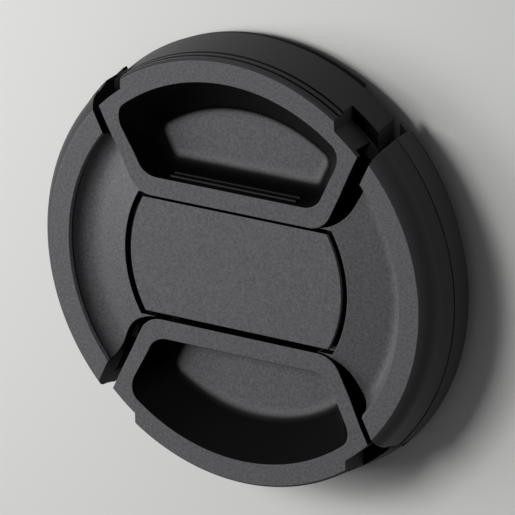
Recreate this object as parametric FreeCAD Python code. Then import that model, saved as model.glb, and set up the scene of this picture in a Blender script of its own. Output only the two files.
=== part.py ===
"""Centre-pinch snap cap for a camera lens with a 62 mm filter thread, in millimetres.

The cap lies on its rear rim with its front face up: +Z is the front, +Y points to the upper grip, and
the origin is on the resting plane at the cap's centre. Two spring-loaded grips slide towards the middle
and draw their claws out of the lens thread.
"""
import FreeCAD, Part
import math
import os

from FreeCAD import Vector

# Lens thread that the cap fits
thread_diameter = 62.0
thread_pitch = 0.75

# Body: skirt, shoulder and front ring, each measured from the thread outwards or inwards
skirt_overhang = 1.0
skirt_draft = 0.85
shoulder_width = 1.85
shoulder_height = 3.0
shoulder_bulge = 0.35
front_ring_width = 3.0
cap_height = 11.2
rear_edge_break = 0.4
parting_line_height = 6.0
parting_step = 0.12
spigot_height = 2.2
spigot_wall = 1.3
spigot_clearance = 0.8

# Body: bowl round the centre plate, floor and hollows
bowl_depth = 2.4
bowl_wall_draft = 0.25
bowl_fillet = 2.0
floor_thickness = 1.2
bowl_wall = 1.6
rib_wall = 1.2

# Centre plate
plate_radius = 16.9
plate_half_height = 8.25
plate_thickness = 1.4
plate_depth = 0.9
plate_groove = 0.8
plate_edge_gap = 0.65
plate_edge_break = 0.2
hook_width = 5.6
hook_thickness = 1.0
hook_barb = 0.7
hook_barb_height = 1.2
hook_barb_edge = 0.5
hook_tip_height = 0.6
hook_clearance = 0.3

# Grips: outline of the rim, and the outer wall that stands in a gap of the skirt
grip_travel = 1.5
grip_overhang = 0.3
grip_wall_flare = 1.0
grip_edge_break = 0.3
grip_arc_half_width = 16.9
grip_tip_step = 1.4
grip_tip_depth = 4.6
grip_chord = 8.9
grip_chord_half_length = 14.8
grip_side_angle = 26.0
grip_corner_radius = 3.7
grip_flange_half_width = 20.9
wall_groove_depth = 0.2
wall_groove_width = 0.5
wall_groove_pitch = 1.1
wall_groove_count = 2

# Grips: lip over the plate, ramp, tub and sliding base
lip_thickness = 0.5
lip_ramp_outer = 18.1
lip_ramp_inner = 14.1
lip_chord_overhang = 1.9
lip_side_overhang = 0.9
tub_corner_radius = 2.8
grip_base_thickness = 1.5
runner_width = 2.2

# Finger pockets
pocket_rim = 3.3
pocket_side_rim = 2.1
pocket_chord_rim = 2.7
pocket_depth = 5.2
pocket_wall_slope = 5.4
pocket_side_slope = 2.4
pocket_chord_slope = 0.5
pocket_fillet = 3.0
pocket_rib_radius = 0.35
pocket_rib_half_length = 10.0
pocket_rib_depth = 1.65
pocket_rib_pitch = 1.1
pocket_rib_count = 2

# Springs, arms and stops
spring_offset = 10.6
spring_clearance = 0.3
spring_wire = 0.5
spring_wire_sides = 4
spring_turns = 4
spring_end_turn = 235.0
arm_width = 4.5
arm_wall = 1.3
arm_step = 1.0
arm_reach = 6.3
peg_clearance = 0.8
peg_length = 1.0
stop_lug_width = 2.3
stop_lug_length = 1.45
stop_lug_height = 3.1

# Claws
claw_half_angle = 30.0
claw_wall = 1.3
claw_bite = 0.15
claw_root_clearance = 0.55
claw_ground_clearance = 0.2
claw_ridge_start = 0.45
claw_ridge_count = 2

# Where the grips lie in their play, as photographed, and the clearances between the pieces
upper_grip_shift = -0.4
lower_grip_shift = 0.8
grip_side_play = 0.9
grip_window_gap = 1.6
slide_clearance = 0.1
end_clearance = 0.1
stop_clearance = 0.05
seat_clearance = 0.2

# Depth by which pieces of one moulding reach into each other, and a margin for cuts that run past a face
blend = 0.01
margin = 10.0

# Radii that follow from the thread
thread_radius = thread_diameter / 2
cap_radius = thread_radius + skirt_overhang
shoulder_radius = cap_radius - skirt_draft
front_ring_outer = shoulder_radius - shoulder_width
front_ring_inner = front_ring_outer - front_ring_width
spigot_outer = thread_radius - spigot_clearance
spigot_inner = spigot_outer - spigot_wall
hollow_radius = spigot_inner - seat_clearance
grip_foot_radius = thread_radius + grip_overhang
grip_radius = grip_foot_radius - grip_wall_flare
grip_tip_radius = grip_radius - grip_tip_step
pocket_radius = grip_radius - pocket_rim
claw_root = thread_radius - claw_root_clearance
claw_crest = thread_radius + claw_bite
claw_inner = claw_root - claw_wall
floor_edge_radius = claw_inner - grip_travel - end_clearance - seat_clearance
reach = cap_radius + margin

# Levels that follow from the heights
floor_top = spigot_height + floor_thickness
shoulder_level = cap_height - shoulder_height
bowl_level = cap_height - bowl_depth
bowl_underside = bowl_level - bowl_wall
plate_top = cap_height - plate_depth
plate_seat = plate_top - plate_thickness
hook_barb_top = plate_seat - rib_wall
hook_barb_bottom = hook_barb_top - hook_barb_height
hook_tip = hook_barb_bottom - hook_tip_height
lip_underside = plate_top + slide_clearance
lip_top = lip_underside + lip_thickness
grip_floor = floor_top + slide_clearance
grip_base_top = grip_floor + grip_base_thickness
grip_tip_foot = cap_height - grip_tip_depth
grip_foot = spigot_height + seat_clearance
pocket_floor = cap_height - pocket_depth
arm_top = plate_seat - seat_clearance
spring_level = (grip_floor + arm_top) / 2
spring_diameter = arm_top - grip_floor - 2 * spring_clearance
peg_diameter = spring_diameter - 2 * (spring_wire + peg_clearance)

# Places in plan that follow from the grips' travel and play
plate_hole_radius = plate_radius + plate_groove
plate_hole_half = plate_half_height + plate_edge_gap
tub_chord = grip_chord + lip_chord_overhang
pocket_chord = grip_chord + pocket_chord_rim
stop_line = tub_chord - grip_travel - end_clearance
grip_side_lean = math.radians(grip_side_angle)
window_corner_shift = grip_window_gap / math.cos(grip_side_lean)
window_corner_radius = grip_corner_radius + window_corner_shift * math.tan(math.pi / 4 + grip_side_lean / 2)
lug_outer = arm_reach + stop_lug_length
post_inner = lug_outer + stop_clearance
arm_inner = spring_offset - arm_width / 2
arm_outer = spring_offset + arm_width / 2
lug_reach = arm_outer + stop_lug_width
well_half_width = lug_reach + grip_side_play + end_clearance
post_half_width = arm_outer + grip_side_play + end_clearance
well_wall_outer = well_half_width + hook_barb + rib_wall
channel_half_width = grip_flange_half_width + grip_side_play + slide_clearance
channel_wall_outer = channel_half_width + rib_wall
spring_length = 2 * (arm_reach - stop_clearance)
spring_shift = (upper_grip_shift + lower_grip_shift) / 2


def block(x0, x1, y0, y1, z0, z1):
    """Box between two corners."""
    return Part.makeBox(x1 - x0, y1 - y0, z1 - z0, Vector(x0, y0, z0))


def disc(radius, z0, z1):
    """Upright cylinder on the cap's axis between two levels."""
    return Part.makeCylinder(radius, z1 - z0, Vector(0, 0, z0))


def both_sides(shape):
    """The shape and its mirror image across the YZ plane."""
    return shape.fuse(shape.mirror(Vector(0, 0, 0), Vector(1, 0, 0)))


def turned(shape):
    """The shape and its copy turned half a turn about Z."""
    copy = shape.copy()
    copy.rotate(Vector(0, 0, 0), Vector(0, 0, 1), 180)
    return shape.fuse(copy)


def revolved(start, *steps):
    """Solid turned about Z from a section in (radius, height).

    A step is a point for a straight edge, or a pair of points for an arc through the first to the second.
    """
    edges = []
    first = Vector(start[0], 0, start[1])
    last = first
    for step in steps:
        if isinstance(step[0], tuple):
            through, end = (Vector(radius, 0, height) for radius, height in step)
            edges.append(Part.Arc(last, through, end).toShape())
        else:
            end = Vector(step[0], 0, step[1])
            edges.append(Part.LineSegment(last, end).toShape())
        last = end
    edges.append(Part.LineSegment(last, first).toShape())
    section = Part.Face(Part.Wire(edges))
    return section.revolve(Vector(0, 0, 0), Vector(0, 0, 1), 360)


def rounded_wire(points, radii, level):
    """Closed wire at a level through the points, each corner rounded by its radius."""
    count = len(points)
    joins = []
    for index, (x, y) in enumerate(points):
        here = Vector(x, y, level)
        radius = radii[index]
        if radius == 0:
            joins.append((here, None, here))
            continue
        before = Vector(*points[index - 1], level)
        after = Vector(*points[(index + 1) % count], level)
        towards_before = (before - here).normalize()
        towards_after = (after - here).normalize()
        half = towards_before.getAngle(towards_after) / 2
        start = here + towards_before * (radius / math.tan(half))
        end = here + towards_after * (radius / math.tan(half))
        bisector = (towards_before + towards_after).normalize()
        joins.append((start, here + bisector * (radius / math.sin(half) - radius), end))
    edges = []
    for index, (start, through, end) in enumerate(joins):
        if through is not None:
            edges.append(Part.Arc(start, through, end).toShape())
        edges.append(Part.LineSegment(end, joins[(index + 1) % count][0]).toShape())
    return Part.Wire(edges)


def side_x(y, inset):
    """Where a grip's slanted side lies at height y, moved inwards by the inset."""
    lean = math.tan(grip_side_lean) * (y - grip_chord)
    return grip_chord_half_length + lean - inset / math.cos(grip_side_lean)


def grip_wire(chord, inset, corner_radius, level):
    """Outline of a grip: a straight inner chord, rounded corners and slanted sides that run past the rim."""
    points = [
        (-side_x(chord, inset), chord),
        (side_x(chord, inset), chord),
        (side_x(reach, inset), reach),
        (-side_x(reach, inset), reach),
    ]
    return rounded_wire(points, [corner_radius, corner_radius, 0, 0], level)


def grip_prism(chord, inset, corner_radius, bottom, top):
    """Upright prism on a grip's outline."""
    face = Part.Face(grip_wire(chord, inset, corner_radius, bottom))
    return face.extrude(Vector(0, 0, top - bottom))


def make_body_blank():
    """The body before its openings: spigot, skirt, shoulder, ring and bowl turned in one section."""
    shoulder_middle = (
        (front_ring_outer + shoulder_radius) / 2 + shoulder_bulge,
        (shoulder_level + cap_height) / 2 + shoulder_bulge,
    )
    fillet_centre = Vector(front_ring_inner - bowl_wall_draft - bowl_fillet, 0, bowl_level + bowl_fillet)
    slope = fillet_centre - Vector(plate_hole_radius, 0, plate_top)
    bowl_rise = math.asin(bowl_fillet / slope.Length) - math.atan2(slope.z, slope.x)

    def on_fillet(turn):
        return fillet_centre.x + bowl_fillet * math.cos(turn), fillet_centre.z - bowl_fillet * math.sin(turn)

    fillet_turn = math.pi / 2 + bowl_rise
    return revolved(
        (0, spigot_height),
        (spigot_inner, spigot_height),
        (spigot_inner, 0),
        (spigot_outer, 0),
        (spigot_outer, spigot_height),
        (cap_radius - rear_edge_break, spigot_height),
        (cap_radius, spigot_height + rear_edge_break),
        (cap_radius - parting_step, parting_line_height),
        (cap_radius - 2 * parting_step, parting_line_height),
        (shoulder_radius, shoulder_level),
        (shoulder_middle, (front_ring_outer, cap_height)),
        (front_ring_inner, cap_height),
        on_fillet(0),
        (on_fillet(fillet_turn / 2), on_fillet(fillet_turn)),
        (plate_hole_radius, plate_top),
        (0, plate_top),
    )


def make_rear_hollows():
    """The two hollows behind the bowl, open to the rear, that keep the walls even."""
    wing_reach = math.sqrt(hollow_radius ** 2 - channel_wall_outer ** 2)
    depth = stop_line - rib_wall
    middle = block(well_wall_outer, reach, -depth, depth, -margin, bowl_underside)
    wings = block(channel_wall_outer, reach, -wing_reach, wing_reach, -margin, bowl_underside)
    return both_sides(middle.fuse(wings).common(disc(hollow_radius, -margin, bowl_underside)))


def make_cap_body():
    """Ring, bowl, skirt and floor in one moulding, with windows and channels for the grips."""
    plate_hole = disc(plate_hole_radius, plate_seat, reach)
    plate_hole = plate_hole.common(block(-reach, reach, -plate_hole_half, plate_hole_half, 0, reach))
    well = block(-well_half_width, well_half_width, -tub_chord, tub_chord, floor_top, plate_seat + blend)
    window = grip_prism(plate_hole_half - blend, -grip_window_gap, window_corner_radius, floor_top, reach)
    channel = block(-channel_half_width, channel_half_width, stop_line, reach, floor_top, bowl_underside)
    claw_gap = block(-channel_half_width, channel_half_width, 0, reach, -margin, floor_top)
    claw_gap = claw_gap.cut(disc(floor_edge_radius, -margin, floor_top))
    body = make_body_blank().cut([plate_hole, well, turned(window), turned(channel), turned(claw_gap)])

    post = block(
        post_half_width, well_half_width + blend, post_inner, stop_line, floor_top - blend, plate_seat
    )
    barb_room = block(
        well_half_width - hook_thickness - 2 * hook_clearance,
        well_half_width + hook_barb,
        -hook_width / 2 - hook_clearance,
        hook_width / 2 + hook_clearance,
        0,
        hook_barb_top + slide_clearance,
    )
    body = body.fuse(turned(both_sides(post))).cut([make_rear_hollows(), both_sides(barb_room)])
    return body.removeSplitter()


def make_centre_plate():
    """Plate over the springs, with two straight and two curved edges and a hook at each end."""
    blank = revolved(
        (0, plate_seat),
        (plate_radius, plate_seat),
        (plate_radius, plate_top - plate_edge_break),
        (plate_radius - plate_edge_break, plate_top),
        (0, plate_top),
    )
    plate = blank.common(block(-reach, reach, -plate_half_height, plate_half_height, 0, reach))
    leg_face = well_half_width - slide_clearance
    leg = block(
        leg_face - hook_thickness, leg_face, -hook_width / 2, hook_width / 2, hook_tip, plate_seat + blend
    )
    barb_points = [
        Vector(leg_face - blend, 0, hook_tip),
        Vector(leg_face + hook_barb - slide_clearance, 0, hook_barb_top - hook_barb_edge),
        Vector(leg_face + hook_barb - slide_clearance, 0, hook_barb_top),
        Vector(leg_face - blend, 0, hook_barb_top),
        Vector(leg_face - blend, 0, hook_tip),
    ]
    barb = Part.Face(Part.makePolygon(barb_points)).extrude(Vector(0, hook_width, 0))
    barb.translate(Vector(0, -hook_width / 2, 0))
    return plate.fuse(both_sides(leg.fuse(barb))).removeSplitter()


def make_grip_envelope():
    """Space that a grip may fill: its flared outer wall, set back at the tips of the rim."""
    wall = revolved(
        (0, grip_foot),
        (grip_foot_radius, grip_foot),
        (grip_radius, cap_height - grip_edge_break),
        (grip_radius - grip_edge_break, cap_height),
        (0, cap_height),
    )
    arc_part = block(-grip_arc_half_width, grip_arc_half_width, 0, reach, 0, cap_height)
    low_part = block(-grip_flange_half_width, grip_flange_half_width, 0, reach, 0, grip_tip_foot)
    return disc(grip_tip_radius, 0, cap_height).fuse(wall.common(arc_part.fuse(low_part)))


def make_pocket_walls():
    """The pocket's three plane walls, which lean outwards from its floor to its rim, as a solid."""
    rings = []
    for level, chord, inset in (
        (pocket_floor, pocket_chord + pocket_chord_slope, pocket_side_rim + pocket_side_slope),
        (cap_height + blend, pocket_chord, pocket_side_rim),
    ):
        near = side_x(chord, inset)
        far = side_x(grip_radius, inset)
        rings.append([
            Vector(-near, chord, level),
            Vector(near, chord, level),
            Vector(far, grip_radius, level),
            Vector(-far, grip_radius, level),
        ])
    floor, rim = rings
    faces = [Part.Face(Part.makePolygon(ring + ring[:1])) for ring in rings]
    for index in range(len(floor)):
        corners = [floor[index - 1], floor[index], rim[index], rim[index - 1], floor[index - 1]]
        faces.append(Part.Face(Part.makePolygon(corners)))
    return Part.Solid(Part.Shell(faces))


def make_pocket():
    """The dished finger pocket, as a solid to take out of a grip."""
    dish = revolved(
        (0, pocket_floor),
        (pocket_radius - pocket_wall_slope, pocket_floor),
        (pocket_radius, cap_height + blend),
        (0, cap_height + blend),
    )
    pocket = make_pocket_walls().common(dish)
    inner_edges = [edge for edge in pocket.Edges if edge.BoundBox.ZMin < cap_height - blend]
    return pocket.makeFillet(pocket_fillet, inner_edges)


def make_pocket_ribs():
    """Fine ribs across the steep wall of the pocket, which the finger presses on."""
    ribs = []
    for index in range(pocket_rib_count):
        depth = pocket_rib_depth + index * pocket_rib_pitch
        wall = pocket_chord + pocket_chord_slope * depth / pocket_depth
        start = Vector(-pocket_rib_half_length, wall, cap_height - depth)
        ribs.append(Part.makeCylinder(pocket_rib_radius, 2 * pocket_rib_half_length, start, Vector(1, 0, 0)))
    return ribs


def make_wall_grooves():
    """Shallow grooves round the grip's outer wall, below its front edge."""
    grooves = []
    for index in range(wall_groove_count):
        middle = cap_height - (index + 1) * wall_groove_pitch
        flare = grip_wall_flare * (cap_height - middle) / (cap_height - grip_foot)
        bottom = middle - wall_groove_width / 2
        top = middle + wall_groove_width / 2
        core = disc(grip_radius + flare - wall_groove_depth, bottom, top)
        grooves.append(disc(reach, bottom, top).cut(core))
    return grooves


def make_claw():
    """Curved claw under the outer wall, with ridges that hook into the lens thread."""
    top = grip_foot + blend
    points = [(claw_root, top)]
    for index in range(claw_ridge_count):
        crest = grip_foot - (claw_ridge_start + index) * thread_pitch
        points.append((claw_crest, crest))
        points.append((claw_root, crest - thread_pitch / 2))
    points.append((claw_root, claw_ground_clearance))
    points.append((claw_inner, claw_ground_clearance))
    ring = revolved((claw_inner, top), *points)
    half = reach * math.tan(math.radians(claw_half_angle))
    corners = [Vector(0, 0, 0), Vector(half, reach, 0), Vector(-half, reach, 0), Vector(0, 0, 0)]
    wedge = Part.Face(Part.makePolygon(corners)).extrude(Vector(0, 0, cap_height))
    return ring.common(wedge)


def make_arms():
    """The two arms that reach under the plate, with spring pads, stop lugs and the runners beside them."""
    floor = block(arm_inner, arm_outer, arm_reach, tub_chord + blend, grip_floor, grip_base_top)
    pad = block(arm_inner, arm_outer, arm_reach, arm_reach + arm_wall, grip_floor, arm_top)
    cheek = block(
        arm_outer - arm_wall, arm_outer, arm_reach, tub_chord + blend, grip_floor, arm_top - arm_step
    )
    lug = block(
        arm_outer - blend, lug_reach, arm_reach, lug_outer, grip_floor, grip_floor + stop_lug_height
    )
    runner = block(
        grip_flange_half_width - runner_width,
        grip_flange_half_width,
        tub_chord,
        lip_ramp_inner,
        grip_base_top - blend,
        bowl_underside - slide_clearance,
    )
    peg_start = Vector(spring_offset, arm_reach + blend, spring_level)
    peg = Part.makeCylinder(peg_diameter / 2, peg_length + blend, peg_start, Vector(0, -1, 0))
    return both_sides(floor.fuse([pad, cheek, lug, runner, peg]))


def make_grip():
    """One grip, as the upper one lies: rim, tub, outer wall, sliding base, arms and claw."""
    half = grip_flange_half_width
    lip = grip_prism(grip_chord, 0, grip_corner_radius, lip_underside, cap_height)
    tub = grip_prism(tub_chord, lip_side_overhang, tub_corner_radius, grip_floor, lip_underside + blend)
    base = block(-half, half, tub_chord, reach, grip_floor, grip_base_top)
    low_wall = block(-half, half, 0, reach, grip_floor, grip_tip_foot)
    low_wall = low_wall.cut(disc(pocket_radius, 0, cap_height))
    foot = block(-half, half, 0, reach, grip_foot, grip_base_top).cut(disc(claw_inner, 0, cap_height))
    grip = lip.fuse([tub, base, low_wall, foot]).common(make_grip_envelope())

    ramp_points = [
        Vector(-reach, 0, lip_top),
        Vector(-reach, lip_ramp_inner, lip_top),
        Vector(-reach, lip_ramp_outer, cap_height),
        Vector(-reach, lip_ramp_outer, reach),
        Vector(-reach, 0, reach),
        Vector(-reach, 0, lip_top),
    ]
    ramp = Part.Face(Part.makePolygon(ramp_points)).extrude(Vector(2 * reach, 0, 0))
    grip = grip.cut([ramp, make_pocket()] + make_wall_grooves())
    return grip.fuse([make_arms(), make_claw()] + make_pocket_ribs()).removeSplitter()


def make_spring(side):
    """Compression spring between the two grips' arms, lying along Y.

    Each half turn is a semicircle that leans forward by a quarter of the pitch, so that it is tangent to
    the next one. A flat part turn closes each end.
    """
    mean_radius = (spring_diameter - spring_wire) / 2
    coiled = spring_length - spring_wire
    pitch = coiled / spring_turns
    coils = []
    for index in range(2 * spring_turns):
        sign = 1 if index % 2 == 0 else -1
        start = Vector(sign * mean_radius, 0, index * pitch / 2)
        centre = Vector(0, 0, (index + 0.5) * pitch / 2)
        axis = (centre - start).cross(Vector(0, -sign, 0)).normalize()
        coils.append(wire_section(start).revolve(centre, axis, 180))
    for level, direction in ((0, -1), (coiled, 1)):
        section = wire_section(Vector(mean_radius, 0, level))
        coils.append(section.revolve(Vector(0, 0, level), Vector(0, 0, direction), spring_end_turn))
    spring = coils[0].fuse(coils[1:])
    spring.translate(Vector(0, 0, -coiled / 2))
    spring.rotate(Vector(0, 0, 0), Vector(1, 0, 0), 90)
    spring.translate(Vector(side * spring_offset + spring_shift, 0, spring_level))
    return spring


def wire_section(centre):
    """Section of the spring wire, square to Y: a regular polygon that stands for the round wire."""
    corners = []
    for index in range(spring_wire_sides + 1):
        angle = math.pi / 2 + 2 * math.pi * index / spring_wire_sides
        corners.append(centre + Vector(math.cos(angle), 0, math.sin(angle)) * (spring_wire / 2))
    return Part.Face(Part.makePolygon(corners))


def main():
    """Build every piece and write it to parts/."""
    upper_grip = make_grip()
    lower_grip = upper_grip.copy()
    lower_grip.rotate(Vector(0, 0, 0), Vector(0, 0, 1), 180)
    upper_grip.translate(Vector(upper_grip_shift, 0, 0))
    lower_grip.translate(Vector(lower_grip_shift, 0, 0))
    pieces = {
        "cap_body": make_cap_body(),
        "centre_plate": make_centre_plate(),
        "upper_grip": upper_grip,
        "lower_grip": lower_grip,
        "left_spring": make_spring(-1),
        "right_spring": make_spring(1),
    }
    os.makedirs("parts", exist_ok=True)
    for name, shape in pieces.items():
        shape.exportStep(f"parts/{name}.step")
        print(f"{name}: valid {shape.isValid()}, solids {len(shape.Solids)}, volume {shape.Volume:.1f}")


main()
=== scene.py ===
"""Dresses a centre-pinch lens cap: black moulded plastic with two steel return springs behind the plate.

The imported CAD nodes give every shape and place. This script gives each moulding its finish, winds the
springs, and sets up a pale studio with the camera at the photograph's viewing angle.
"""

import logging
import math
from dataclasses import dataclass
from enum import Enum

import bmesh
import bpy
from mathutils import Matrix, Vector


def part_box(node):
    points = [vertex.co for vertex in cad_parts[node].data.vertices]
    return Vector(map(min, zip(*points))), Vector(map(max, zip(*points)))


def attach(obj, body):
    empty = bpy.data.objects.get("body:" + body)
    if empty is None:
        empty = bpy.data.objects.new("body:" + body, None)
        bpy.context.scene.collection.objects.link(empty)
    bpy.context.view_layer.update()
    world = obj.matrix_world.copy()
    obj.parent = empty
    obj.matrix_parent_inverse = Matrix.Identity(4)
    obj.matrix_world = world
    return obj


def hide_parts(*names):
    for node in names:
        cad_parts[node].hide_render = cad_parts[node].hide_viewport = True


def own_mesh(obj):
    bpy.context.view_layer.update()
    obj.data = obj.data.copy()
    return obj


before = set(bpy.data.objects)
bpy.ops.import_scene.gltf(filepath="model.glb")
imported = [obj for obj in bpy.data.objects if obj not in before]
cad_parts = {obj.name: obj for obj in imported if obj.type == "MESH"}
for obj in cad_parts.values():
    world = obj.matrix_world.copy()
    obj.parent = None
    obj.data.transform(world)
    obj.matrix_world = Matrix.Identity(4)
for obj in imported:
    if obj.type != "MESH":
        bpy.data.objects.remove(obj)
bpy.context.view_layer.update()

LOG = logging.getLogger("lens_cap")
MM = 0.001
IMAGE_SIZE = 515


class Side(Enum):
    """The two ends of a spring, along the cap's Y axis."""

    UPPER = 1
    LOWER = -1


def linear(hex_colour: str) -> tuple[float, float, float, float]:
    """Turn an sRGB hex colour into linear RGBA.

    Args:
        hex_colour: six hex digits.

    Returns:
        The colour's linear red, green and blue, and an alpha of 1.
    """
    channels = []
    for start in (0, 2, 4):
        value = int(hex_colour[start:start + 2], 16) / 255
        channels.append(value / 12.92 if value <= 0.04045 else ((value + 0.055) / 1.055) ** 2.4)
    return channels[0], channels[1], channels[2], 1.0


def add_node(
    tree: bpy.types.NodeTree,
    kind: str,
    inputs: dict[str | int, object] | None = None,
    **settings: object,
) -> bpy.types.Node:
    """Add a node, set its properties and fill or link its inputs.

    Args:
        tree: the node tree to add to.
        kind: the node's type name.
        inputs: socket names or numbers with a value, or with an output socket to link from.
        settings: properties of the node itself.

    Returns:
        The new node.
    """
    node = tree.nodes.new(kind)
    for name, value in settings.items():
        setattr(node, name, value)
    for socket, value in (inputs or {}).items():
        if isinstance(value, bpy.types.NodeSocket):
            tree.links.new(value, node.inputs[socket])
        else:
            node.inputs[socket].default_value = value
    return node


def empty_material(name: str) -> bpy.types.Material:
    """Make a material whose node tree is empty.

    Args:
        name: the material's name.

    Returns:
        The material.
    """
    material = bpy.data.materials.new(name)
    material.use_nodes = True
    material.node_tree.nodes.clear()
    return material


@dataclass(frozen=True)
class Spot:
    """Where a point of a moulding's surface lies, and which way it looks, as sockets of a node tree.

    The point without its height is across, and its distance from the cap's axis, which is Z, is radius.
    """

    point: bpy.types.NodeSocket
    normal: bpy.types.NodeSocket
    across: bpy.types.NodeSocket
    radius: bpy.types.NodeSocket
    height: bpy.types.NodeSocket

    @classmethod
    def read(cls, tree: bpy.types.NodeTree) -> "Spot":
        """Add the nodes that read the place on the cap.

        Args:
            tree: the finish's node tree.

        Returns:
            The place's sockets.
        """
        place = add_node(tree, "ShaderNodeTexCoord")
        across = add_node(
            tree, "ShaderNodeVectorMath", {0: place.outputs["Object"], 1: (1, 1, 0)}, operation="MULTIPLY"
        )
        radius = add_node(tree, "ShaderNodeVectorMath", {0: across.outputs["Vector"]}, operation="LENGTH")
        height = add_node(tree, "ShaderNodeSeparateXYZ", {0: place.outputs["Object"]})
        return cls(
            point=place.outputs["Object"],
            normal=place.outputs["Normal"],
            across=across.outputs["Vector"],
            radius=radius.outputs["Value"],
            height=height.outputs["Z"],
        )


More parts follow.
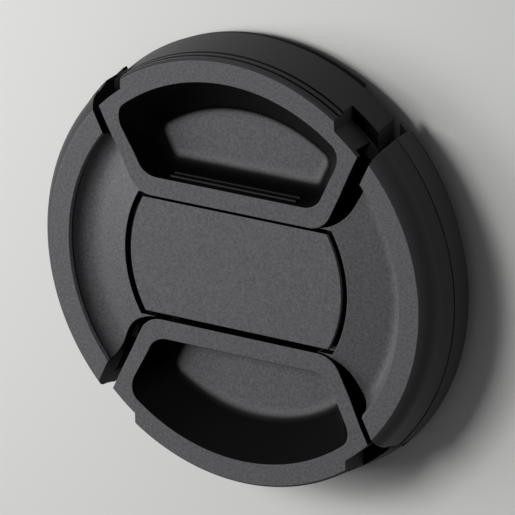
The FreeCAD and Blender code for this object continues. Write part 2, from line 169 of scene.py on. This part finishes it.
@dataclass(frozen=True)
class MouldedPlastic:
    """Black injection-moulded polycarbonate blend.

    Faces that look to the front came off spark-eroded steel. Their charcoal is partly the grain's own
    scatter and partly painted sheen of the lamps above, and the grain's peaks are painted paler as painted
    highlights. The real grain is too fine to show in the render, so grain_size draws it coarser. Steep walls
    and deep faces came off smooth steel and stay deep black, and wall_roughness says how matt they are. The
    outside of the skirt is satin, painted a paler grey as painted sheen. The edges are painted paler in
    patches: partly burnish from handling, partly painted edge highlights.

    A face is steep below steep_below, the upright part of its normal, and looks to the front from
    front_above. The grain lies above floor_level and within grained_within of the axis, or above rim_level.
    A grip's ribs, from ribs_from to ribs_to, have no grain and no paler edges: the edge wear and painted
    edge highlight stop above them.
    """

    name: str
    steep_below: float
    front_above: float
    floor_level: float
    grained_within: float = 29.4 * MM
    grain_fade: float = 0.1 * MM
    rim_level: float = 20 * MM
    ribs_from: float = 0.0
    ribs_to: float = 0.0
    # The grained charcoal: partly the grain's scatter, partly painted sheen of the lamps above.
    grain_valley_and_sheen: str = "4c4c4e"
    # The grain's peaks are painted paler still: painted highlights.
    grain_peak_highlight: str = "606062"
    # The satin skirt's paler grey is painted sheen.
    satin_sheen: str = "3b3b3d"
    deep_black: str = "040405"
    # Paler edges in patches: partly burnish from handling, partly painted edge highlight.
    burnish_and_glint: str = "454547"
    grain_size: float = 0.36 * MM
    grain_detail: float = 4.0
    grain_depth: float = 0.025 * MM
    grain_range: tuple[float, float] = (0.3, 0.7)
    mottle_size: float = 6 * MM
    mottle_detail: float = 3.0
    mottle_roughness: float = 0.05
    grained_roughness: float = 0.42
    wall_roughness: float = 0.22
    satin_roughness: float = 0.42
    satin_from: float = 28.6 * MM
    satin_outwards: tuple[float, float] = (0.25, 0.5)
    edge_radius: float = 0.16 * MM
    edge_samples: int = 8
    edge_likeness: tuple[float, float] = (0.995, 0.8)
    ior: float = 1.58
    specular: float = 0.12

    @classmethod
    def for_body(cls) -> "MouldedPlastic":
        """Give the body's plastic: grained from the bowl to the ring, matt black in the windows.

        Returns:
            The finish.
        """
        return cls(
            name="moulded_black_body",
            steep_below=0.04,
            front_above=0.22,
            floor_level=8 * MM,
            wall_roughness=0.65,
        )

    @classmethod
    def for_plate(cls) -> "MouldedPlastic":
        """Give the plate's plastic, with a grained front and black sides."""
        return cls(name="moulded_black_plate", steep_below=0.5, front_above=0.9, floor_level=10 * MM)

    @classmethod
    def for_grip(cls, node: str) -> "MouldedPlastic":
        """Give a grip's plastic: grained rim and pocket floor, black pocket walls and ribs.

        Args:
            node: the grip's CAD node.

        Returns:
            The finish.
        """
        return cls(
            name=f"moulded_black_{node}",
            steep_below=0.84,
            front_above=0.985,
            floor_level=5.9 * MM,
            grained_within=28.8 * MM,
            rim_level=10.9 * MM,
            ribs_from=7.4 * MM,
            ribs_to=10.05 * MM,
            wall_roughness=0.38,
            specular=0.06,
        )

    def build(self) -> bpy.types.Material:
        """Make the material.

        Returns:
            The plastic, ready to be put in a slot.
        """
        material = empty_material(self.name)
        tree = material.node_tree
        spot = Spot.read(tree)
        above_ribs = add_node(
            tree, "ShaderNodeMath", {0: spot.height, 1: self.ribs_to}, operation="GREATER_THAN"
        ).outputs["Value"]
        grained = self.mask_grain(tree, spot, above_ribs)
        satin = self.mask_satin(tree, spot)
        grain = add_node(
            tree,
            "ShaderNodeTexNoise",
            {"Vector": spot.point, "Scale": 1 / self.grain_size, "Detail": self.grain_detail},
        ).outputs["Fac"]
        mottle = add_node(
            tree,
            "ShaderNodeTexNoise",
            {"Vector": spot.point, "Scale": 1 / self.mottle_size, "Detail": self.mottle_detail},
        ).outputs["Fac"]
        soft_edge = add_node(
            tree, "ShaderNodeBevel", {"Radius": self.edge_radius}, samples=self.edge_samples
        ).outputs["Normal"]
        # Worn edges, painted paler in patches: partly burnish, partly painted edge highlight.
        edge_wear_and_glint = self.mask_edge_wear_and_glint(tree, soft_edge, above_ribs, mottle)
        relief = add_node(tree, "ShaderNodeMath", {0: grained, 1: grain}, operation="MULTIPLY")
        bump = add_node(
            tree,
            "ShaderNodeBump",
            {"Distance": self.grain_depth, "Height": relief.outputs["Value"], "Normal": soft_edge},
        )
        shader = add_node(
            tree,
            "ShaderNodeBsdfPrincipled",
            {
                "Base Color": self.mix_colour(tree, grained, satin, grain, edge_wear_and_glint),
                "Roughness": self.mix_roughness(tree, grained, satin, mottle),
                "IOR": self.ior,
                "Specular IOR Level": self.specular,
                "Normal": bump.outputs["Normal"],
            },
        )
        add_node(tree, "ShaderNodeOutputMaterial", {"Surface": shader.outputs["BSDF"]})
        return material

    def mask_grain(
        self, tree: bpy.types.NodeTree, spot: Spot, above_ribs: bpy.types.NodeSocket
    ) -> bpy.types.NodeSocket:
        """Find the grained faces: they look to the front, and lie in the grain's zone. Their charcoal is
        partly painted sheen.

        Args:
            tree: the finish's node tree.
            spot: the place on the cap.
            above_ribs: 1 above a grip's ribs.

        Returns:
            1 on grained faces.
        """
        facing = add_node(tree, "ShaderNodeSeparateXYZ", {0: spot.normal})
        # Faces that look to the front get the charcoal, which is partly painted sheen.
        front = add_node(
            tree,
            "ShaderNodeMapRange",
            {"Value": facing.outputs["Z"], "From Min": self.steep_below, "From Max": self.front_above},
            interpolation_type="SMOOTHSTEP",
        )
        inside = add_node(
            tree,
            "ShaderNodeMapRange",
            {
                "Value": spot.radius,
                "From Min": self.grained_within,
                "From Max": self.grained_within - self.grain_fade,
            },
        )
        on_rim = add_node(
            tree, "ShaderNodeMath", {0: spot.height, 1: self.rim_level}, operation="GREATER_THAN"
        )
        above_floor = add_node(
            tree, "ShaderNodeMath", {0: spot.height, 1: self.floor_level}, operation="GREATER_THAN"
        )
        below_ribs = add_node(
            tree, "ShaderNodeMath", {0: spot.height, 1: self.ribs_from}, operation="LESS_THAN"
        )
        zone = add_node(
            tree,
            "ShaderNodeMath",
            {0: inside.outputs["Result"], 1: on_rim.outputs["Value"]},
            operation="MAXIMUM",
        )
        off_ribs = add_node(
            tree, "ShaderNodeMath", {0: below_ribs.outputs["Value"], 1: above_ribs}, operation="MAXIMUM"
        )
        grained = zone.outputs["Value"]
        for mask in (above_floor.outputs["Value"], off_ribs.outputs["Value"], front.outputs["Result"]):
            both = add_node(tree, "ShaderNodeMath", {0: grained, 1: mask}, operation="MULTIPLY")
            grained = both.outputs["Value"]
        return grained

    def mask_satin(self, tree: bpy.types.NodeTree, spot: Spot) -> bpy.types.NodeSocket:
        """Find the satin faces: the outside of the skirt, which looks away from the axis. Their paler grey
        is painted sheen.

        Args:
            tree: the finish's node tree.
            spot: the place on the cap.

        Returns:
            1 on satin faces.
        """
        outwards = add_node(tree, "ShaderNodeVectorMath", {0: spot.across}, operation="NORMALIZE")
        turned_out = add_node(
            tree,
            "ShaderNodeVectorMath",
            {0: outwards.outputs["Vector"], 1: spot.normal},
            operation="DOT_PRODUCT",
        )
        start, full = self.satin_outwards
        outside = add_node(
            tree,
            "ShaderNodeMapRange",
            {"Value": turned_out.outputs["Value"], "From Min": start, "From Max": full},
        )
        far_out = add_node(
            tree, "ShaderNodeMath", {0: spot.radius, 1: self.satin_from}, operation="GREATER_THAN"
        )
        satin = add_node(
            tree,
            "ShaderNodeMath",
            {0: outside.outputs["Result"], 1: far_out.outputs["Value"]},
            operation="MULTIPLY",
        )
        return satin.outputs["Value"]

    def mask_edge_wear_and_glint(
        self,
        tree: bpy.types.NodeTree,
        soft_edge: bpy.types.NodeSocket,
        above_ribs: bpy.types.NodeSocket,
        mottle: bpy.types.NodeSocket,
    ) -> bpy.types.NodeSocket:
        """Find the edges that are painted paler, in patches: partly burnish from handling, partly painted
        edge highlight.

        Args:
            tree: the finish's node tree.
            soft_edge: the normal, rounded over the edges.
            above_ribs: 1 above a grip's ribs.
            mottle: the slow pattern of the patches.

        Returns:
            1 where an edge is worn and carries a painted edge highlight.
        """
        flat = add_node(tree, "ShaderNodeNewGeometry")
        likeness = add_node(
            tree, "ShaderNodeVectorMath", {0: soft_edge, 1: flat.outputs["Normal"]}, operation="DOT_PRODUCT"
        )
        start, full = self.edge_likeness
        edge = add_node(
            tree,
            "ShaderNodeMapRange",
            {"Value": likeness.outputs["Value"], "From Min": start, "From Max": full},
        )
        reached = add_node(
            tree, "ShaderNodeMath", {0: edge.outputs["Result"], 1: above_ribs}, operation="MULTIPLY"
        )
        edge_wear_and_glint = add_node(
            tree, "ShaderNodeMath", {0: reached.outputs["Value"], 1: mottle}, operation="MULTIPLY"
        )
        return edge_wear_and_glint.outputs["Value"]

    def mix_colour(
        self,
        tree: bpy.types.NodeTree,
        grained: bpy.types.NodeSocket,
        satin: bpy.types.NodeSocket,
        grain: bpy.types.NodeSocket,
        edge_wear_and_glint: bpy.types.NodeSocket,
    ) -> bpy.types.NodeSocket:
        """Mix the plastic's colour: deep black, then the satin's painted sheen, then the grained charcoal
        with its painted sheen, then the worn edges with their painted edge highlight.

        Args:
            tree: the finish's node tree.
            grained: 1 on grained faces.
            satin: 1 on satin faces.
            grain: the grain's height, whose peaks are painted paler as painted highlights.
            edge_wear_and_glint: 1 on worn edges that carry a painted edge highlight.

        Returns:
            The colour.
        """
        # Deep black on the walls, and the satin's paler grey as painted sheen.
        dark = add_node(
            tree,
            "ShaderNodeMix",
            {0: satin, 6: linear(self.deep_black), 7: linear(self.satin_sheen)},
            data_type="RGBA",
        )
        valley, peak = self.grain_range
        # Grain peaks painted paler: painted highlights.
        lit_grain_peaks = add_node(
            tree, "ShaderNodeMapRange", {"Value": grain, "From Min": valley, "From Max": peak}
        )
        # Charcoal on the grained faces: partly the grain, partly painted sheen.
        charcoal = add_node(
            tree,
            "ShaderNodeMix",
            {0: lit_grain_peaks.outputs["Result"], 6: linear(self.grain_valley_and_sheen), 7: linear(self.grain_peak_highlight)},
            data_type="RGBA",
        )
        clean = add_node(
            tree, "ShaderNodeMix", {0: grained, 6: dark.outputs[2], 7: charcoal.outputs[2]}, data_type="RGBA"
        )
        # Paler worn edges with a painted edge highlight.
        colour = add_node(
            tree,
            "ShaderNodeMix",
            {0: edge_wear_and_glint, 6: clean.outputs[2], 7: linear(self.burnish_and_glint)},
            data_type="RGBA",
        )
        return colour.outputs[2]

    def mix_roughness(
        self,
        tree: bpy.types.NodeTree,
        grained: bpy.types.NodeSocket,
        satin: bpy.types.NodeSocket,
        mottle: bpy.types.NodeSocket,
    ) -> bpy.types.NodeSocket:
        """Mix the plastic's roughness: of the walls, then satin, then grained, a little uneven from use.

        Args:
            tree: the finish's node tree.
            grained: 1 on grained faces.
            satin: 1 on satin faces.
            mottle: the slow pattern of the unevenness.

        Returns:
            The roughness.
        """
        smooth = add_node(
            tree,
            "ShaderNodeMix",
            {0: satin, 2: self.wall_roughness, 3: self.satin_roughness},
            data_type="FLOAT",
        )
        new = add_node(
            tree,
            "ShaderNodeMix",
            {0: grained, 2: smooth.outputs[0], 3: self.grained_roughness},
            data_type="FLOAT",
        )
        worn = add_node(
            tree,
            "ShaderNodeMath",
            {0: mottle, 1: self.mottle_roughness, 2: new.outputs[0]},
            operation="MULTIPLY_ADD",
        )
        return worn.outputs["Value"]


@dataclass(frozen=True)
class SpringSteel:
    """Drawn and wound stainless wire: bright, with dull flecks for the lines that drawing leaves on it.

    The real lines are too fine to show in the render, so line_size draws them coarser.
    """

    name: str = "drawn_stainless_wire"
    bright: str = "b9b6b0"
    dull: str = "8d8a85"
    line_size: float = 0.4 * MM
    line_detail: float = 2.0
    roughness: float = 0.28

    def build(self) -> bpy.types.Material:
        """Make the material.

        Returns:
            The wire's metal, ready to be put in a slot.
        """
        material = empty_material(self.name)
        tree = material.node_tree
        place = add_node(tree, "ShaderNodeTexCoord")
        lines = add_node(
            tree,
            "ShaderNodeTexNoise",
            {"Vector": place.outputs["Object"], "Scale": 1 / self.line_size, "Detail": self.line_detail},
        )
        colour = add_node(
            tree,
            "ShaderNodeMix",
            {0: lines.outputs["Fac"], 6: linear(self.bright), 7: linear(self.dull)},
            data_type="RGBA",
        )
        shader = add_node(
            tree,
            "ShaderNodeBsdfPrincipled",
            {"Base Color": colour.outputs[2], "Metallic": 1.0, "Roughness": self.roughness},
        )
        add_node(tree, "ShaderNodeOutputMaterial", {"Surface": shader.outputs["BSDF"]})
        return material


@dataclass(frozen=True)
class PalePaper:
    """Matt paper for the floor."""

    name: str = "pale_paper"
    colour: str = "d0d0ce"
    roughness: float = 0.9

    def build(self) -> bpy.types.Material:
        """Make the material.

        Returns:
            The paper.
        """
        material = empty_material(self.name)
        paper = add_node(
            material.node_tree,
            "ShaderNodeBsdfPrincipled",
            {"Base Color": linear(self.colour), "Roughness": self.roughness},
        )
        add_node(material.node_tree, "ShaderNodeOutputMaterial", {"Surface": paper.outputs["BSDF"]})
        return material


@dataclass
class Moulding:
    """One moulding of the CAD model, which keeps its shape and gets its finish."""

    node: str
    finish: MouldedPlastic

    def dress(self) -> bpy.types.Object:
        """Put the finish on the CAD node.

        Returns:
            The node's object.
        """
        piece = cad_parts[self.node]
        if not piece.material_slots:
            piece.data.materials.append(None)
        for slot in piece.material_slots:
            slot.material = self.finish.build()
        LOG.info("dressed %s with %s", self.node, self.finish.name)
        return piece


@dataclass
class ReturnSpring:
    """Compression spring between the two grips, wound as two halves that meet in the middle."""

    node: str
    finish: SpringSteel
    grip_stroke: float = 1.5 * MM
    wire: float = 0.5 * MM
    turns_each_half: float = 2.0
    closed_turn: float = 235.0
    steps_a_turn: int = 28
    wire_sides: int = 12
    sharp_angle: float = 50.0

    def build(self) -> list[bpy.types.Object]:
        """Wind both halves, dress them and let them stand for the CAD spring.

        Returns:
            The two half springs, upper first.
        """
        low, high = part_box(self.node)
        middle = (low + high) / 2
        half_length = (high.y - low.y) / 2
        metal = self.finish.build()
        halves = []
        for side, joint in ((Side.UPPER, "upper_grip_slide"), (Side.LOWER, "lower_grip_slide")):
            half = self.wind(side, middle, (high.x - low.x) / 2, half_length)
            half.data.materials.append(metal)
            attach(half, "cap_body")
            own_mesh(half)
            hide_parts(self.node)
            halves.append(half)
        LOG.info("wound %s in two halves", self.node)
        return halves

    def wind(self, side: Side, middle: Vector, outer_radius: float, half_length: float) -> bpy.types.Object:
        """Wind one half of the spring.

        The section lies square to the spring's axis, so the wire comes out as a flat strip: as wide as the
        wire, about 0.1 mm thick where it rises, and with no thickness in the closed end turn.

        Args:
            side: the end that the half runs to.
            middle: the spring's centre.
            outer_radius: the spring's outside radius.
            half_length: from the centre to the outside of a round wire's end coil.

        Returns:
            The half spring, with its place in its mesh.
        """
        form = bmesh.new()
        radius = outer_radius - self.wire / 2
        section = bmesh.ops.create_circle(form, segments=self.wire_sides, radius=self.wire / 2)["verts"]
        bmesh.ops.rotate(form, verts=section, cent=(0, 0, 0), matrix=Matrix.Rotation(math.pi / 2, 3, "X"))
        bmesh.ops.translate(form, verts=section, vec=(radius, 0, 0))
        ring = section + list({edge for vert in section for edge in vert.link_edges})
        steps = round(self.turns_each_half * self.steps_a_turn)
        rise = side.value * (half_length - self.wire / 2) / steps
        angle = -side.value * self.turns_each_half * 2 * math.pi
        last = bmesh.ops.spin(
            form, geom=ring, axis=(0, 1, 0), cent=(0, 0, 0), dvec=(0, rise, 0), angle=angle, steps=steps
        )["geom_last"]
        end_angle = -side.value * math.radians(self.closed_turn)
        end_steps = round(self.steps_a_turn * self.closed_turn / 360)
        bmesh.ops.spin(form, geom=last, axis=(0, 1, 0), cent=(0, 0, 0), angle=end_angle, steps=end_steps)
        bmesh.ops.holes_fill(form, edges=form.edges, sides=self.wire_sides)
        bmesh.ops.recalc_face_normals(form, faces=form.faces)
        bmesh.ops.translate(form, verts=form.verts, vec=middle)
        mesh = bpy.data.meshes.new(f"{self.node}_{side.name.lower()}_half")
        form.to_mesh(mesh)
        form.free()
        mesh.shade_smooth()
        mesh.set_sharp_from_angle(angle=math.radians(self.sharp_angle))
        piece = bpy.data.objects.new(mesh.name, mesh)
        bpy.context.scene.collection.objects.link(piece)
        return piece


@dataclass(frozen=True)
class Softbox:
    """A square lamp with a soft face that looks at the cap. Lengths are in metres, the power in watts."""

    name: str
    towards: Vector
    distance: float
    size: float
    power: float

    def hang(self, aim: Vector) -> None:
        """Hang the lamp.

        Args:
            aim: the point that it looks at.
        """
        data = bpy.data.lights.new(self.name, "AREA")
        data.shape = "SQUARE"
        data.size = self.size
        data.energy = self.power
        lamp = bpy.data.objects.new(self.name, data)
        lamp.location = aim + self.towards.normalized() * self.distance
        lamp.rotation_mode = "QUATERNION"
        lamp.rotation_quaternion = (-self.towards).to_track_quat("-Z", "Y")
        bpy.context.scene.collection.objects.link(lamp)


@dataclass
class Studio:
    """Pale floor, soft lamps and the photograph's camera, whose lens and sensor are in millimetres."""

    ring_centre: Vector = Vector((0, 0, 11.2 * MM))
    ring_pixel: tuple[float, float] = (231.5, 274.6)
    towards_camera: Vector = Vector((0.502, 0.358, 0.789))
    camera_up: Vector = Vector((-0.175, 0.937, -0.304))
    distance: float = 0.93
    lens: float = 483.0
    sensor: float = 36.0
    near_clip: float = 0.01
    floor_half_width: float = 1.5
    sky_colour: str = "f4f5f7"
    sky_strength: float = 0.14
    key: Softbox = Softbox("key_softbox", Vector((-0.45, 0.30, 0.84)), 0.27, 0.11, 0.48)
    fill: Softbox = Softbox("side_softbox", Vector((-0.82, 0.02, 0.57)), 0.50, 0.24, 1.45)

    def build(self) -> None:
        """Make the floor, the lamps, the world and the camera."""
        self.build_floor()
        self.build_world()
        for lamp in (self.key, self.fill):
            lamp.hang(self.ring_centre)
        self.build_camera()
        bpy.context.scene.view_settings.view_transform = "Standard"
        LOG.info("set up the studio")

    def build_floor(self) -> None:
        """Lay a plain pale floor, which takes the cap's shadow."""
        form = bmesh.new()
        bmesh.ops.create_grid(form, x_segments=1, y_segments=1, size=self.floor_half_width)
        mesh = bpy.data.meshes.new("studio_floor")
        form.to_mesh(mesh)
        form.free()
        mesh.materials.append(PalePaper().build())
        floor = bpy.data.objects.new("studio_floor", mesh)
        bpy.context.scene.collection.objects.link(floor)

    def build_world(self) -> None:
        """Fill the room with soft pale light."""
        world = bpy.data.worlds.new("studio_world")
        world.use_nodes = True
        sky = world.node_tree.nodes["Background"]
        sky.inputs["Color"].default_value = linear(self.sky_colour)
        sky.inputs["Strength"].default_value = self.sky_strength
        bpy.context.scene.world = world

    def build_camera(self) -> None:
        """Place the camera so that the front ring's centre falls on its pixel of the photograph."""
        back = self.towards_camera.normalized()
        right = self.camera_up.cross(back).normalized()
        up = back.cross(right)
        focal = self.lens / self.sensor * IMAGE_SIZE
        across = (self.ring_pixel[0] - IMAGE_SIZE / 2) / focal * self.distance
        above = (IMAGE_SIZE / 2 - self.ring_pixel[1]) / focal * self.distance
        data = bpy.data.cameras.new("photo_camera")
        data.lens = self.lens
        data.sensor_width = self.sensor
        data.clip_start = self.near_clip
        camera = bpy.data.objects.new("photo_camera", data)
        place = self.ring_centre - right * across - up * above + back * self.distance
        turn = Matrix((right, up, back)).transposed().to_4x4()
        camera.matrix_world = Matrix.Translation(place) @ turn
        bpy.context.scene.collection.objects.link(camera)
        bpy.context.scene.camera = camera


def main() -> None:
    """Build the studio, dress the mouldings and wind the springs."""
    logging.basicConfig(level=logging.INFO, format="%(name)s: %(message)s")
    Studio().build()
    Moulding("cap_body", MouldedPlastic.for_body()).dress()
    Moulding("centre_plate", MouldedPlastic.for_plate()).dress()
    for node in ("upper_grip", "lower_grip"):
        Moulding(node, MouldedPlastic.for_grip(node)).dress()
    for node in ("left_spring", "right_spring"):
        ReturnSpring(node, SpringSteel()).build()


if __name__ == "__main__":
    main()
